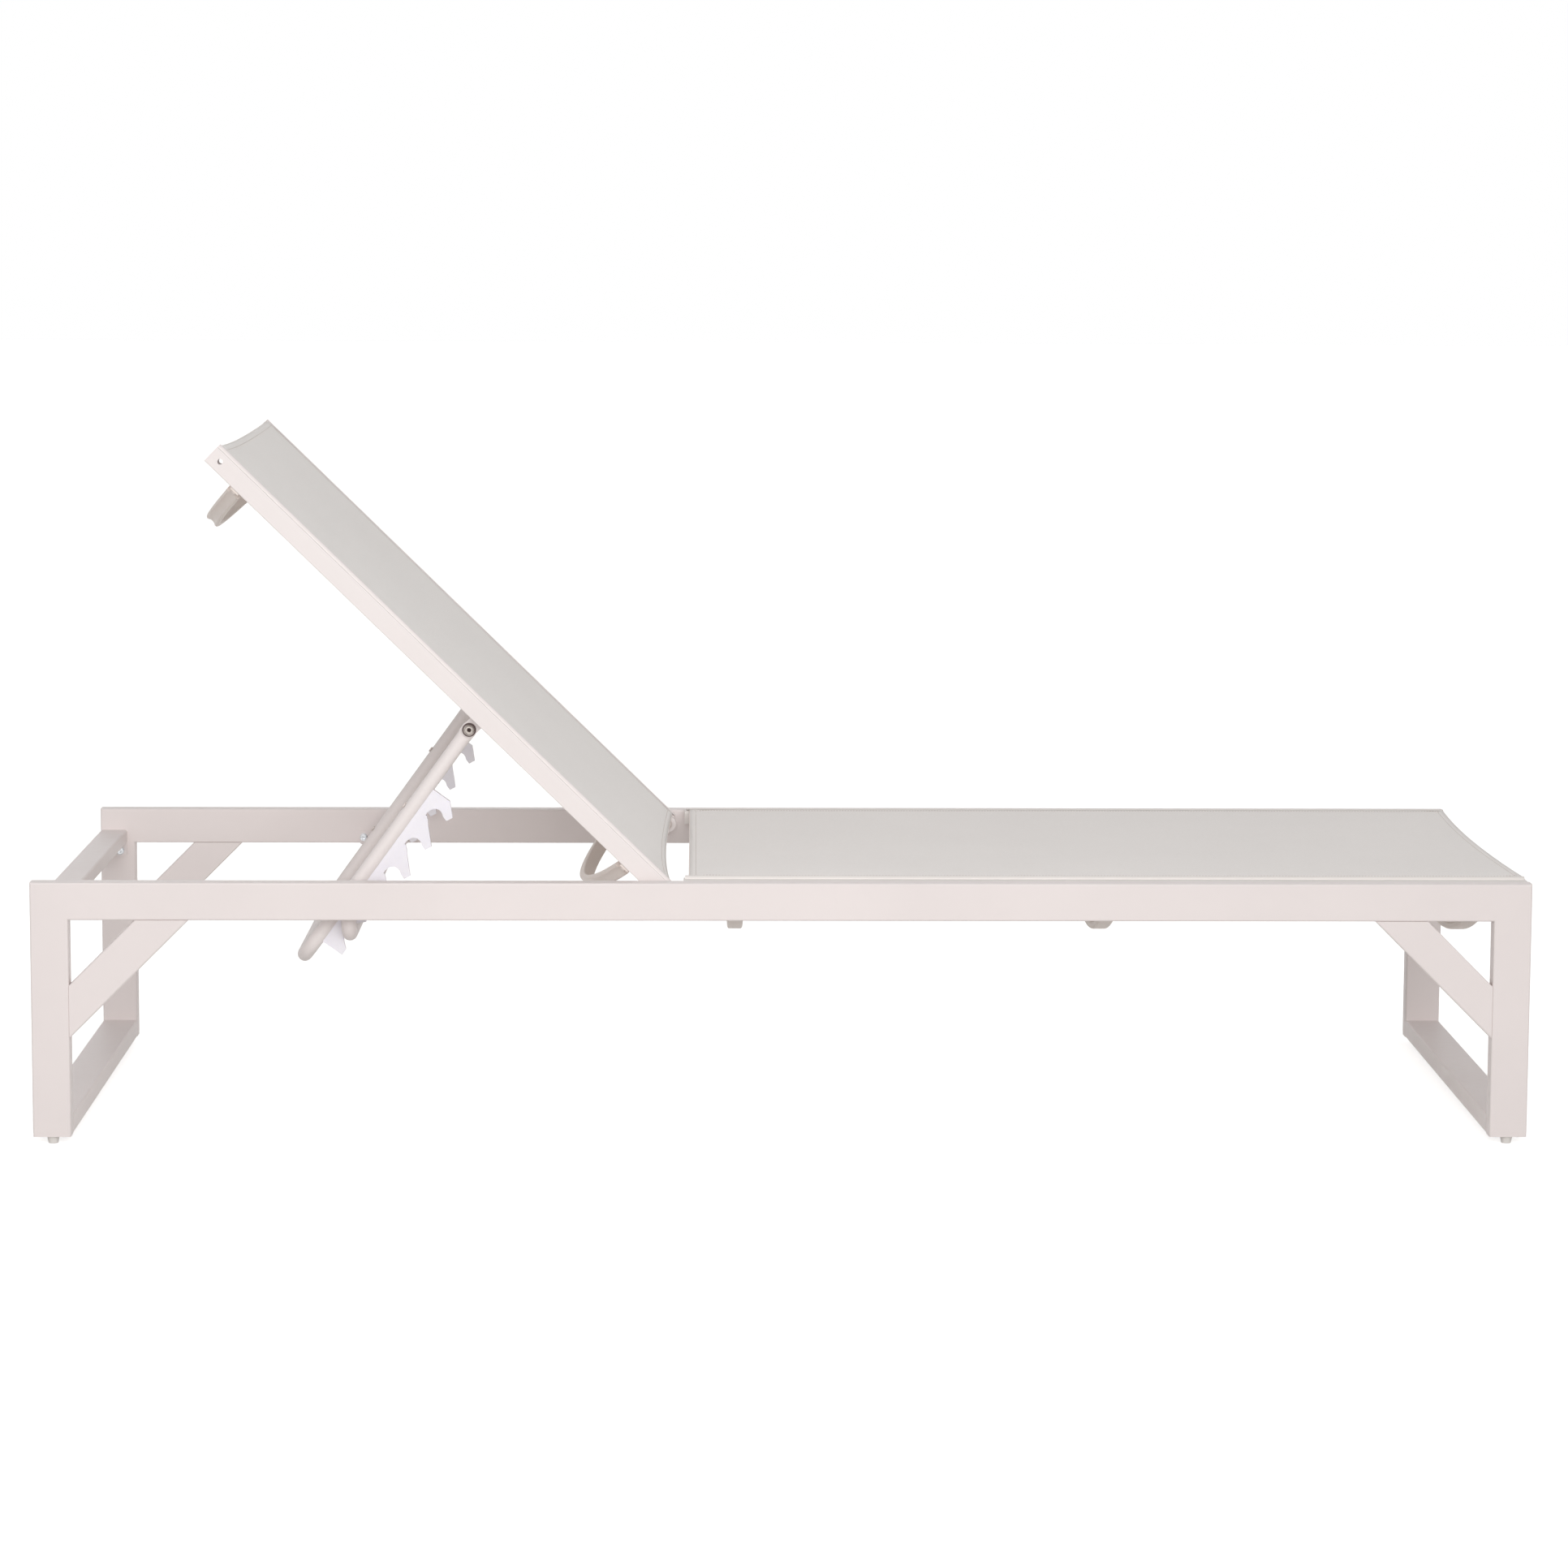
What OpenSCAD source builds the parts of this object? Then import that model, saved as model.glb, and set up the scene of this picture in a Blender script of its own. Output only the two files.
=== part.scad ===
// Reclining chaise lounge: welded tube side frames, two fabric slings and a
// back that a toothed stay holds up on a catch bar.
// X runs from the head end to the foot end, Y from the near side to the far
// side, Z up. The origin is on the floor under the middle of the lounge.

/* [Overall] */
// Length over the side frames
overall_length = 1980; // [1940:5:2060]
// Width over the side frames
overall_width = 700; // [660:5:760]
// Height of the side rails' top above the floor
rail_top = 350; // [345:1:380]

/* [Side frame tubes] */
// Wide side of the frame tube
tube_w = 50; // [46:1:54]
// Narrow side of the frame tube
tube_t = 25; // [22:1:30]
// Wall of the frame tube
tube_wall = 2; // [1.2:0.1:2]
// Radius of the frame tube's edges
tube_edge = 2.5; // [2.4:0.1:4]
// Leg of the open triangle above each corner brace
brace_gap = 87; // [70:1:100]

/* [Feet] */
// Thickness of the plate that closes a leg
cap_plate = 5; // [4:0.5:6]
// Height of the glide under the plate
glide_h = 10; // [8:0.5:12]
// Diameter of the glide at the plate
glide_top_d = 17; // [15:0.5:19]
// Diameter of the glide at the floor
glide_floor_d = 13; // [10:0.5:14]

/* [Head crossbar] */
// Width of the crossbar along the lounge
crossbar_w = 38.6; // [34:0.2:44]
// Height of the crossbar
crossbar_h = 20; // [16:0.5:22]
// Height of the crossbar's end plates
crossbar_plate_h = 39; // [36:0.5:42]

/* [Slings] */
// Width of the extruded sling rails
channel_w = 25; // [24:0.5:25]
// Height of the seat's sling rails
seat_channel_h = 18; // [18:0.5:20]
// Thickness of the fabric
sling_t = 1.2; // [0.8:0.1:1.2]
// Sag of the fabric at mid width
sling_sag = 13; // [6:0.5:20]
// Depth of the bowed stretchers below the seat's sling rails
seat_bow = 94; // [80:1:110]
// Depth of the bowed stretchers below the back's rails
back_bow = 89; // [80:1:100]

/* [Back] */
// Angle of the raised back above the seat
recline = 44.33; // [44:0.01:44.6]
// Length of the back's rails beyond the hinge
back_length = 828; // [824:1:830]
// Height of the back's rails
back_rail_h = 25; // [24:0.5:25]
// Width of the back's rails
back_rail_w = 23; // [22:0.5:24]
// Diameter of the cross hole at the top of each back rail
accessory_hole_d = 7.2; // [6:0.1:8]

/* [Stay and racks] */
// Diameter of the stay tube
stay_d = 19.5; // [19:0.1:20]
// Length from the stay's pivots to its cross tube
stay_length = 381; // [376:1:386]
// Distance from the hinge to the stay's pivots along the back
stay_pivot_s = 333.9; // [333:0.1:335]
// Drop of the stay's pivots below the middle of the back's rails
stay_pivot_drop = 27.1; // [26.8:0.1:28]
// Angle of the raised stay below the seat
stay_angle = 54.1; // [53.8:0.1:54.4]
// Diameter of the catch bar
catch_d = 20; // [19.4:0.1:20.2]
// Number of notches in a rack
notch_count = 5; // [5:1:5]
// Distance between two notches
notch_pitch = 48.06; // [47.8:0.01:48.3]
// Distance along the stay from its pivot to the first notch
notch_first = 122.4; // [122:0.1:123]
// Distance from the stay's middle line to the notches' centres
notch_offset = 31.2; // [31:0.1:32]

/* [Hidden] */
$fn = 48;
eps = 0.01;
margin = 20;

// Places along the lounge
head_x = -overall_length / 2;
foot_x = overall_length / 2;
half_w = overall_width / 2;
inner_y = half_w - tube_t;
rail_mid_y = half_w - tube_t / 2;
rail_bottom = rail_top - tube_w;
floor_gap = glide_h + cap_plate;

// Hinge of the back
back_end_gap = 4.5;
hinge_drop = 17;
hinge_x = head_x + back_length + back_end_gap;
hinge_z = rail_top - hinge_drop;
hinge_bolt_d = 8;
hinge_bush_d = 12;
hinge_head_d = 14;
hinge_head_h = 5;
hinge_nut_h = 6;
hinge_flange = 8;
side_play = 0.5;
bore_over = 2;
running_gap = 0.05;

// Bolts, plates and small parts
crossbar_drop = 31;
crossbar_edge = 3;
crossbar_x = head_x + crossbar_w / 2;
crossbar_top = rail_top - crossbar_drop;
plate_t = 3;
crossbar_plate_t = 4;
plate_edge = 4;
plate_bolt_d = 12;
plate_bolt_h = 5;
crossbar_bolt_in = 9.8;
crossbar_bolt_z = 9;
catch_plate_w = 71;
catch_plate_h = 20;
catch_bolt_x = 29;
catch_bolt_up = 0.5;
catch_bolt_d = 11;
catch_bolt_h = 4.5;
shank_d = 6;
socket_ratio = 0.5;
bolt_rim = 0.7;
bolt_crown = 0.8;
socket_floor = 0.4;
stretcher_screw_d = 9;
stretcher_screw_h = 3;
stretcher_shank_d = 4;
cap_inset = 0.4;
cap_spigot_h = 12;
glide_stem_d = 8;
glide_stem_l = 8;
cap_screw_x = 15;
cap_screw_d = 9.5;
cap_screw_h = 2.6;
cap_screw_rim = 0.4;
cap_screw_crown = 0.55;

// Sling rails, cords and slings
ridge_d = 9;
ridge_in = 16;
cord_d = 5.5;
cord_bore_d = 6;
slot_w = 2.4;
slot_angle = 30;
channel_wall = 2;
channel_edge = 1.2;
channel_floor = 5.5;
seat_head_gap = 27.5;
seat_foot_gap = 4;
seat_channel_head = hinge_x + seat_head_gap;
seat_channel_foot = foot_x - seat_foot_gap;
channel_cap_t = 2;
sling_inset = 6;
sling_foot_inset = 1;
foot_curve = 9;
back_hem_low = 5;
back_hem_inset = 2;
back_curve_low = 2;
back_curve_top = 1;
back_sag_top = 9;
lip_out = 5;
cord_gap = 0.35;
cord_inset = 2;

// Bowed stretchers
stretcher_w = 20.5;
stretcher_t = 10;
stretcher_wall = 1.5;
stretcher_edge = 3;
tab_t = 3;
tab_len = 30;
stretcher_inset = 1;
stretcher_plug = 1.5;
stretcher_facets = 96;
back_stretcher_dish = 2.3;
dish_rim = 3.6;
tab_side = 3.5;
tab_lap = 5;
seat_stretcher_head_in = 68;
seat_stretcher_foot_in = 49.5;
seat_stretcher_share = 0.503;
seat_stretcher_first = seat_channel_head + seat_stretcher_head_in;
seat_stretcher_last = seat_channel_foot - seat_stretcher_foot_in;
seat_stretcher_x = [
  seat_stretcher_first,
  seat_stretcher_first + (seat_stretcher_last - seat_stretcher_first) * seat_stretcher_share,
  seat_stretcher_last
];
back_stretcher_low = 60;
back_stretcher_top_in = 56;
back_stretcher_high = back_length - back_stretcher_top_in;

// Back rails
back_side_gap = 6;
back_ridge_in = 9;
back_outer_y = inner_y - back_side_gap;
back_mid_y = back_outer_y - back_rail_w / 2;
back_ridge_y = back_outer_y - back_ridge_in;
accessory_hole_in = 16;
accessory_hole_up = 1;
seat_ridge_y = inner_y - ridge_in;

// Stay
stay_wall = 2;
stay_bend = 38;
lug_w = 20;
lug_t = 4;
lug_y = back_outer_y - back_rail_w + lug_t / 2;
paddle_t = 6;
paddle_w = 21;
paddle_gap = 0.5;
paddle_y = lug_y - lug_t / 2 - paddle_gap - paddle_t / 2;
arm_start = 18;
stay_y = paddle_y + paddle_t / 2 - stay_d / 2;
pivot_bolt_d = 8;
pivot_head_d = 15;
pivot_head_h = 5;
pivot_washer_d = 18.5;
pivot_washer_t = 1.2;
pivot_nut_d = 12;
pivot_nut_h = 4;
pivot_nut_gap = 1;

// Racks
rack_t = 10;
rack_step = 1;
rack_overlap = 2;
wall_in = 0.9;
rack_band = 20;
rack_start = 94.2;
rack_tail = 31.4;
rack_end = notch_first + (notch_count - 1) * notch_pitch + rack_tail;
rack_seat_gap = 0.05;
notch_play = 1;
notch_d = catch_d + notch_play;
tooth_crest = [19.2, 26.6];
tooth_tip = [23.4, -1.6];
tooth_hook = [15.2, -6];
tooth_neck = [10.6, 0.5];
tail_wall = [-8.7, -12.4];
tail_knee = [-6.2, -23];
tail_tip = [-11.1, -30.8];
rack_screw_d = 8;
rack_screw_h = 2;
rack_screw_shift = 12;
rack_screw_s = [for (k = [0.5, 3.5]) notch_first + k * notch_pitch - rack_screw_shift];
clear_path = 0.7;
fold_rise = 0.17;

// Raised places of the stay's pivot and of the catch bar
pivot_x = hinge_x - stay_pivot_s * cos(recline) - stay_pivot_drop * sin(recline);
pivot_z = hinge_z + stay_pivot_s * sin(recline) - stay_pivot_drop * cos(recline);
seated_s = notch_first + (notch_count - 1) * notch_pitch;
catch_x = pivot_x - seated_s * cos(stay_angle) + notch_offset * sin(stay_angle);
catch_z = pivot_z - seated_s * sin(stay_angle) - notch_offset * cos(stay_angle);
catch_y = inner_y - plate_t - catch_d / 2;
catch_bend = 20;
catch_top_gap = 2;
catch_top = hinge_z - back_rail_h / 2 - catch_top_gap;
catch_wall = 2;

// Colours
frame_white = [0.93, 0.92, 0.91];
rail_white = [0.88, 0.87, 0.85];
nylon_white = [0.9, 0.89, 0.92];
glide_grey = [0.72, 0.72, 0.73];
zinc = [0.6, 0.6, 0.6];
fabric_beige = [0.82, 0.81, 0.78];

// Frames of reference

// The back's own frame lies flat: rails run along -X from the hinge.
module in_back() {
  translate([hinge_x, 0, hinge_z]) rotate([0, recline, 0]) children();
}

// The stay's own frame: +X runs along its arms, +Z points to the catch bar.
module in_stay() {
  translate([pivot_x, 0, pivot_z]) rotate([0, 180 - stay_angle, 0]) children();
}

module on_both_sides() {
  children();
  mirror([0, 1, 0]) children();
}

// Profiles and basic shapes

module rounded(w, h, r) {
  square([w - 2 * r, h], center = true);
  square([w, h - 2 * r], center = true);
  for (sx = [-1, 1], sy = [-1, 1])
    translate([sx * (w / 2 - r), sy * (h / 2 - r)]) circle(r);
}

module tube_profile(w, h, r, wall) {
  difference() {
    rounded(w, h, r);
    rounded(w - 2 * wall, h - 2 * wall, max(r - wall, 0.4));
  }
}

module along_x(x0, x1) {
  translate([x0, 0, 0]) rotate([90, 0, 90]) linear_extrude(x1 - x0) children();
}

module along_y(y0, y1) {
  translate([0, y1, 0]) rotate([90, 0, 0]) linear_extrude(y1 - y0) children();
}

// A bolt on its axis along +Y, head towards +Y, with a hexagon socket.
module bolt(head_d, head_h, shank, length) {
  rotate([-90, 0, 0]) {
    difference() {
      union() {
        cylinder(d = head_d, h = head_h * bolt_rim);
        translate([0, 0, head_h * bolt_rim])
          cylinder(d1 = head_d, d2 = head_d * bolt_crown, h = head_h * (1 - bolt_rim));
      }
      translate([0, 0, head_h * socket_floor]) cylinder(d = head_d * socket_ratio, h = head_h, $fn = 6);
    }
    if (length > 0) translate([0, 0, -length]) cylinder(d = shank, h = length);
  }
}

// Side frames, drawn for the side that side = -1 (near) or 1 (far) names

module side_rail(side) {
  color(frame_white) difference() {
    translate([0, side * rail_mid_y, rail_top - tube_w / 2])
      along_x(head_x, foot_x) tube_profile(tube_t, tube_w, tube_edge, tube_wall);
    for (end = [-1, 1]) mitre_cut(end, side, -1);
    translate([hinge_x, side * (inner_y + tube_wall / 2), hinge_z]) rotate([90, 0, 0])
      cylinder(d = hinge_bolt_d, h = tube_wall + 2 * eps, center = true);
  }
}

// The half of the frame's corner on one side of its mitre: under = -1 takes
// away the leg's half, under = 1 takes away the rail's half.
module mitre_cut(end, side, under) {
  low = [foot_x - tube_w - margin, rail_bottom - margin];
  high = [foot_x + margin, rail_top + margin];
  corner = under < 0 ? [high[0], low[1]] : [low[0], high[1]];
  scale([end, 1, 1]) translate([0, side * rail_mid_y, 0])
    along_y(-tube_t, tube_t) polygon([low, high, corner]);
}

module leg(end, side) {
  color(frame_white) difference() {
    translate([end * (foot_x - tube_w / 2), side * rail_mid_y, floor_gap])
      linear_extrude(rail_top - floor_gap) tube_profile(tube_w, tube_t, tube_edge, tube_wall);
    mitre_cut(end, side, 1);
  }
}

// A brace runs at 45 degrees from the leg's inner face to the rail's underside.
module corner_brace(end, side) {
  x_leg = foot_x - tube_w;
  middle = brace_gap + tube_w / sqrt(2);
  reach = middle / sqrt(2) + tube_w;
  color(frame_white) scale([end, 1, 1]) difference() {
    translate([x_leg - middle / 2, side * rail_mid_y, rail_bottom - middle / 2])
      rotate([0, 45, 0]) along_x(-reach, reach) tube_profile(tube_t, tube_w, tube_edge, tube_wall);
    translate([x_leg, side * rail_mid_y - tube_t, rail_bottom - 2 * reach])
      cube([4 * reach, 2 * tube_t, 4 * reach]);
    translate([x_leg - 4 * reach, side * rail_mid_y - tube_t, rail_bottom])
      cube([8 * reach, 2 * tube_t, 4 * reach]);
  }
}

module skid_bar(end) {
  color(frame_white) translate([end * (foot_x - tube_w / 2), 0, glide_h + tube_t / 2])
    along_y(-inner_y, inner_y) tube_profile(tube_w, tube_t, tube_edge, tube_wall);
}

// Feet

module at_feet() {
  for (end = [-1, 1], side = [-1, 1])
    translate([end * (foot_x - tube_w / 2), side * rail_mid_y, 0]) children();
}

module leg_end_caps() {
  spigot = [tube_w - 2 * tube_wall - cap_inset, tube_t - 2 * tube_wall - cap_inset];
  color(frame_white) at_feet() difference() {
    union() {
      translate([0, 0, glide_h]) linear_extrude(cap_plate)
        rounded(tube_w - cap_inset, tube_t - cap_inset, tube_edge);
      translate([0, 0, floor_gap]) linear_extrude(cap_spigot_h)
        tube_profile(spigot[0], spigot[1], 2, tube_wall);
    }
    translate([0, 0, glide_h - eps]) cylinder(d = glide_stem_d, h = cap_plate + 2 * eps);
  }
}

module foot_glides() {
  color(glide_grey) at_feet() {
    cylinder(d1 = glide_floor_d, d2 = glide_top_d, h = glide_h);
    translate([0, 0, glide_h]) cylinder(d = glide_stem_d, h = glide_stem_l);
  }
}

module end_cap_screws() {
  color(zinc) at_feet() for (sx = [-1, 1]) translate([sx * cap_screw_x, 0, glide_h])
    mirror([0, 0, 1]) {
      cylinder(d = cap_screw_d, h = cap_screw_h * cap_screw_rim);
      translate([0, 0, cap_screw_h * cap_screw_rim]) cylinder(
        d1 = cap_screw_d, d2 = cap_screw_d * cap_screw_crown,
        h = cap_screw_h * (1 - cap_screw_rim)
      );
    }
}

// Head crossbar

module head_crossbar() {
  end_y = inner_y - crossbar_plate_t;
  color(frame_white) translate([crossbar_x, 0, crossbar_top - crossbar_h / 2])
    along_y(-end_y, end_y) tube_profile(crossbar_w, crossbar_h, crossbar_edge, tube_wall);
}

module crossbar_end_plates() {
  color(frame_white) on_both_sides()
    translate([crossbar_x, 0, crossbar_top - crossbar_plate_h / 2])
      along_y(inner_y - crossbar_plate_t, inner_y) difference() {
        rounded(crossbar_w, crossbar_plate_h, plate_edge);
        for (sx = [-1, 1]) translate([sx * crossbar_bolt_in, crossbar_bolt_z - crossbar_plate_h / 2])
          circle(d = shank_d);
      }
}

module crossbar_bolts() {
  color(zinc) on_both_sides() for (sx = [-1, 1])
    translate([
      crossbar_x + sx * crossbar_bolt_in,
      -(inner_y - crossbar_plate_t),
      crossbar_top - crossbar_plate_h + crossbar_bolt_z
    ]) bolt(plate_bolt_d, plate_bolt_h, shank_d, crossbar_plate_t);
}

// Catch bar: a tube that drops from a plate on each side rail and runs across

module catch_path(d) {
  straight = catch_y - catch_bend;
  translate([catch_x, 0, catch_z]) {
    rotate([90, 0, 0]) cylinder(d = d, h = 2 * straight, center = true);
    on_both_sides() {
      translate([0, straight, catch_bend]) rotate([90, 0, 90]) rotate([0, 0, -90])
        rotate_extrude(angle = 90) translate([catch_bend, 0]) circle(d = d);
      translate([0, catch_y, catch_bend])
        cylinder(d = d, h = catch_top - catch_z - catch_bend);
    }
  }
}

module catch_bar() {
  color(frame_white) difference() {
    catch_path(catch_d);
    catch_path(catch_d - 2 * catch_wall);
  }
}

module catch_bar_plates() {
  color(frame_white) on_both_sides()
    translate([catch_x, 0, catch_top - catch_plate_h / 2])
      along_y(inner_y - plate_t, inner_y) difference() {
        rounded(catch_plate_w, catch_plate_h, plate_edge);
        for (sx = [-1, 1]) translate([sx * catch_bolt_x, catch_bolt_up]) circle(d = shank_d);
      }
}

module catch_bar_bolts() {
  color(zinc) on_both_sides() for (sx = [-1, 1])
    translate([
      catch_x + sx * catch_bolt_x,
      -(inner_y - plate_t),
      catch_top - catch_plate_h / 2 + catch_bolt_up
    ]) bolt(catch_bolt_d, catch_bolt_h, shank_d, plate_t);
}

// Sling rails: a hollow box with a ridge on top, bored for the keder cord and
// slotted inwards for the fabric. The profile's +X points outwards.

module channel_profile(w, h, ridge_from_outside) {
  ridge_x = w / 2 - ridge_from_outside;
  difference() {
    union() {
      rounded(w, h, channel_edge);
      translate([ridge_x, h / 2]) circle(d = ridge_d);
    }
    translate([ridge_x, h / 2]) circle(d = cord_bore_d);
    translate([ridge_x, h / 2]) rotate(180 - slot_angle) translate([0, -slot_w / 2])
      square([ridge_d, slot_w]);
    translate([0, (channel_wall - channel_floor) / 2])
      square([w - 2 * channel_wall, h - channel_wall - channel_floor], center = true);
  }
}

module seat_sling_rail(side) {
  color(rail_white) scale([1, side, 1])
    translate([0, inner_y - channel_w / 2, rail_top - seat_channel_h / 2])
      along_x(seat_channel_head, seat_channel_foot)
        channel_profile(channel_w, seat_channel_h, ridge_in);
}

module seat_rail_end_caps() {
  color(rail_white) on_both_sides()
    translate([0, inner_y - channel_w / 2, rail_top - seat_channel_h / 2]) {
      for (x = [seat_channel_head - channel_cap_t, seat_channel_foot])
        along_x(x, x + channel_cap_t) rounded(channel_w, seat_channel_h, channel_edge);
    }
}

module cord(length) {
  along_x(0, length) circle(d = cord_d);
}

module seat_keder_cords() {
  color(fabric_beige) on_both_sides()
    translate([seat_channel_head + sling_inset, seat_ridge_y, rail_top])
      cord(seat_channel_foot - seat_channel_head - 2 * sling_inset);
}

// A stretcher's section, with its outer side at +X and its sides moved in by
// inset. A dish hollows the outer side.
module stretcher_profile(dish, inset) {
  difference() {
    rounded(stretcher_t - 2 * inset, stretcher_w - 2 * inset, stretcher_edge - inset);
    if (dish > 0) {
      chord = stretcher_w / 2 - dish_rim;
      dish_r = (chord * chord + dish * dish) / (2 * dish);
      translate([stretcher_t / 2 + dish_r - dish, 0]) circle(r = dish_r + inset);
    }
  }
}

// Bowed stretchers: an arc of tube with plugged ends that hangs below two
// rails, with a flat tab under each rail. Drawn across Y with the rails'
// underside at Z = 0.

module stretcher_arc(radius, half_angle, dish, inset) {
  rotate([0, 90, 0]) rotate([0, 0, -half_angle])
    rotate_extrude(angle = 2 * half_angle, $fn = stretcher_facets) translate([radius, 0])
      stretcher_profile(dish, inset);
}

module bowed_stretcher(rail_y, half_span, depth, dish) {
  sag = depth - stretcher_t;
  radius = (half_span * half_span + sag * sag) / (2 * sag);
  half_angle = asin(half_span / radius);
  translate([0, 0, radius - depth + stretcher_t / 2]) difference() {
    stretcher_arc(radius, half_angle, dish, 0);
    stretcher_arc(radius, half_angle - stretcher_plug, dish, stretcher_wall);
  }
  on_both_sides() difference() {
    translate([tab_side - stretcher_w / 2, half_span - tab_lap, -tab_t])
      cube([stretcher_w - 2 * tab_side, rail_y - half_span + tab_lap + tab_len / 4, tab_t]);
    translate([0, rail_y, -tab_t - eps]) cylinder(d = stretcher_shank_d, h = tab_t + 2 * eps);
  }
}

module seat_stretcher(index) {
  color(frame_white) translate([seat_stretcher_x[index], 0, rail_top - seat_channel_h])
    bowed_stretcher(inner_y - channel_w / 2, inner_y - channel_w - stretcher_inset, seat_bow, 0);
}

module back_stretcher(s) {
  color(frame_white) in_back() translate([-s, 0, -back_rail_h / 2])
    bowed_stretcher(back_mid_y, back_outer_y - back_rail_w - stretcher_inset, back_bow,
      back_stretcher_dish);
}

// A screw head under a stretcher's tab, seen from below.
module tab_screw() {
  translate([0, 0, -tab_t]) rotate([-90, 0, 0])
    bolt(stretcher_screw_d, stretcher_screw_h, stretcher_shank_d, tab_t);
}

module seat_stretcher_screws() {
  color(zinc) on_both_sides() for (x = seat_stretcher_x)
    translate([x, inner_y - channel_w / 2, rail_top - seat_channel_h]) tab_screw();
}

module back_stretcher_screws() {
  color(zinc) in_back() on_both_sides() for (s = [back_stretcher_low, back_stretcher_high])
    translate([-s, back_mid_y, -back_rail_h / 2]) tab_screw();
}

// Slings: a sheet that leaves both keder slots and sags between them. Each
// section across the sheet is a closed ring of points, top side first.

sling_rows = 20;
sling_cols = 12;

// Height below the sheet's edge at the share t (-1 to 1) of its half width
function sag_at(t, sag) = -sag * (1 - t * t);

function sheet_side(ridge_y, sag) =
  let (
    reach = cord_d / 2 + cord_gap,
    root = [ridge_y - reach * cos(slot_angle), reach * sin(slot_angle)],
    lip = [ridge_y - lip_out * cos(slot_angle), lip_out * sin(slot_angle)]
  ) concat(
    [[-root[0], root[1]]],
    [for (j = [0:sling_cols])
      let (t = 2 * j / sling_cols - 1) [t * lip[0], lip[1] + sag_at(t, sag)]],
    [[root[0], root[1]]]
  );

function sheet_ring(ridge_y, sag) =
  let (side = sheet_side(ridge_y, sag), last = len(side) - 1) concat(
    [for (p = side) [p[0], p[1] + sling_t / 2]],
    [for (k = [0:last]) [side[last - k][0], side[last - k][1] - sling_t / 2]]
  );

// start and curve give the sheet's two hems: each bows inwards at mid width.
module sheet(x0, x1, curve0, curve1, ridge_y, sag0, sag1) {
  rings = [for (i = [0:sling_rows])
    let (u = i / sling_rows, ring = sheet_ring(ridge_y, sag0 + (sag1 - sag0) * u))
      [for (p = ring)
        let (
          inward = 1 - pow(p[0] / ridge_y, 2),
          low = x0 + curve0 * inward,
          high = x1 - curve1 * inward
        ) [low + (high - low) * u, p[0], p[1]]]
  ];
  count = len(rings[0]);
  half = count / 2;
  points = [for (ring = rings) for (p = ring) p];
  skin = [for (i = [0:sling_rows - 1]) for (k = [0:count - 1])
    let (a = i * count + k, b = i * count + (k + 1) % count)
      for (face = [[a, a + count, b + count], [a, b + count, b]]) face];
  ends = [for (i = [0, sling_rows]) for (k = [0:half - 2])
    let (a = i * count + k, b = a + 1, c = i * count + count - 2 - k, d = c + 1)
      for (face = i == 0 ? [[a, b, c], [a, c, d]] : [[a, c, b], [a, d, c]]) face];
  polyhedron(points, concat(skin, ends));
}

module seat_sling() {
  color(fabric_beige) translate([0, 0, rail_top])
    sheet(seat_channel_head + sling_inset, seat_channel_foot - sling_foot_inset, 0, foot_curve,
      seat_ridge_y, sling_sag, sling_sag);
}

module back_sling() {
  color(fabric_beige) in_back() translate([0, 0, back_rail_h / 2])
    sheet(back_hem_inset - back_length, -back_hem_low, back_curve_top, back_curve_low,
      back_ridge_y, back_sag_top, sling_sag);
}

// Back rails: rounded about the hinge, with the cross hole at the top

module back_rail(side) {
  end_r = back_rail_h / 2;
  color(frame_white) in_back() difference() {
    scale([1, side, 1]) translate([0, back_mid_y, 0])
      along_x(-back_length, end_r) channel_profile(back_rail_w, back_rail_h, back_ridge_in);
    translate([0, side * back_mid_y, 0]) along_y(-back_rail_w, back_rail_w) difference() {
      translate([0, -back_rail_h]) square([back_rail_h, 2 * back_rail_h]);
      circle(r = end_r);
    }
    translate([0, side * back_mid_y, 0]) rotate([90, 0, 0])
      cylinder(d = hinge_bush_d, h = back_rail_w + bore_over, center = true);
    translate([accessory_hole_in - back_length, side * back_mid_y, accessory_hole_up])
      rotate([90, 0, 0])
        cylinder(d = accessory_hole_d, h = back_rail_w + bore_over, center = true);
  }
}

module hinge_bushes() {
  flange_t = inner_y - back_outer_y - side_play;
  color(nylon_white) in_back() on_both_sides()
    translate([0, back_outer_y, 0]) rotate([90, 0, 0]) difference() {
      union() {
        cylinder(d = hinge_bush_d, h = back_rail_w);
        translate([0, 0, -flange_t]) cylinder(d = hinge_bush_d + hinge_flange, h = flange_t);
      }
      translate([0, 0, -flange_t - bore_over / 2])
        cylinder(d = hinge_bolt_d + 2 * running_gap, h = back_rail_w + flange_t + bore_over);
    }
}

// The hinge bolts stay with the side rails: head inside the back, nut in the tube.
module hinge_bolts() {
  head_y = back_outer_y - back_rail_w - side_play;
  color(zinc) on_both_sides() translate([hinge_x, 0, hinge_z]) {
    translate([0, -head_y, 0]) bolt(hinge_head_d, hinge_head_h, hinge_bolt_d, inner_y - head_y + tube_wall);
    translate([0, -(inner_y + tube_wall), 0]) rotate([90, 0, 0])
      cylinder(d = hinge_head_d, h = hinge_nut_h, $fn = 6);
  }
}

module back_keder_cords() {
  color(fabric_beige) in_back() on_both_sides()
    translate([cord_inset - back_length, back_ridge_y, back_rail_h / 2])
      cord(back_length - cord_inset - back_hem_low);
}

// Stay: lugs on the back, a U of tube with flat ends, and two toothed racks

module lug_profile() {
  circle(d = lug_w);
  translate([-lug_w / 2, 0]) square([lug_w, stay_pivot_drop - back_rail_h / 2]);
}

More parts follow.
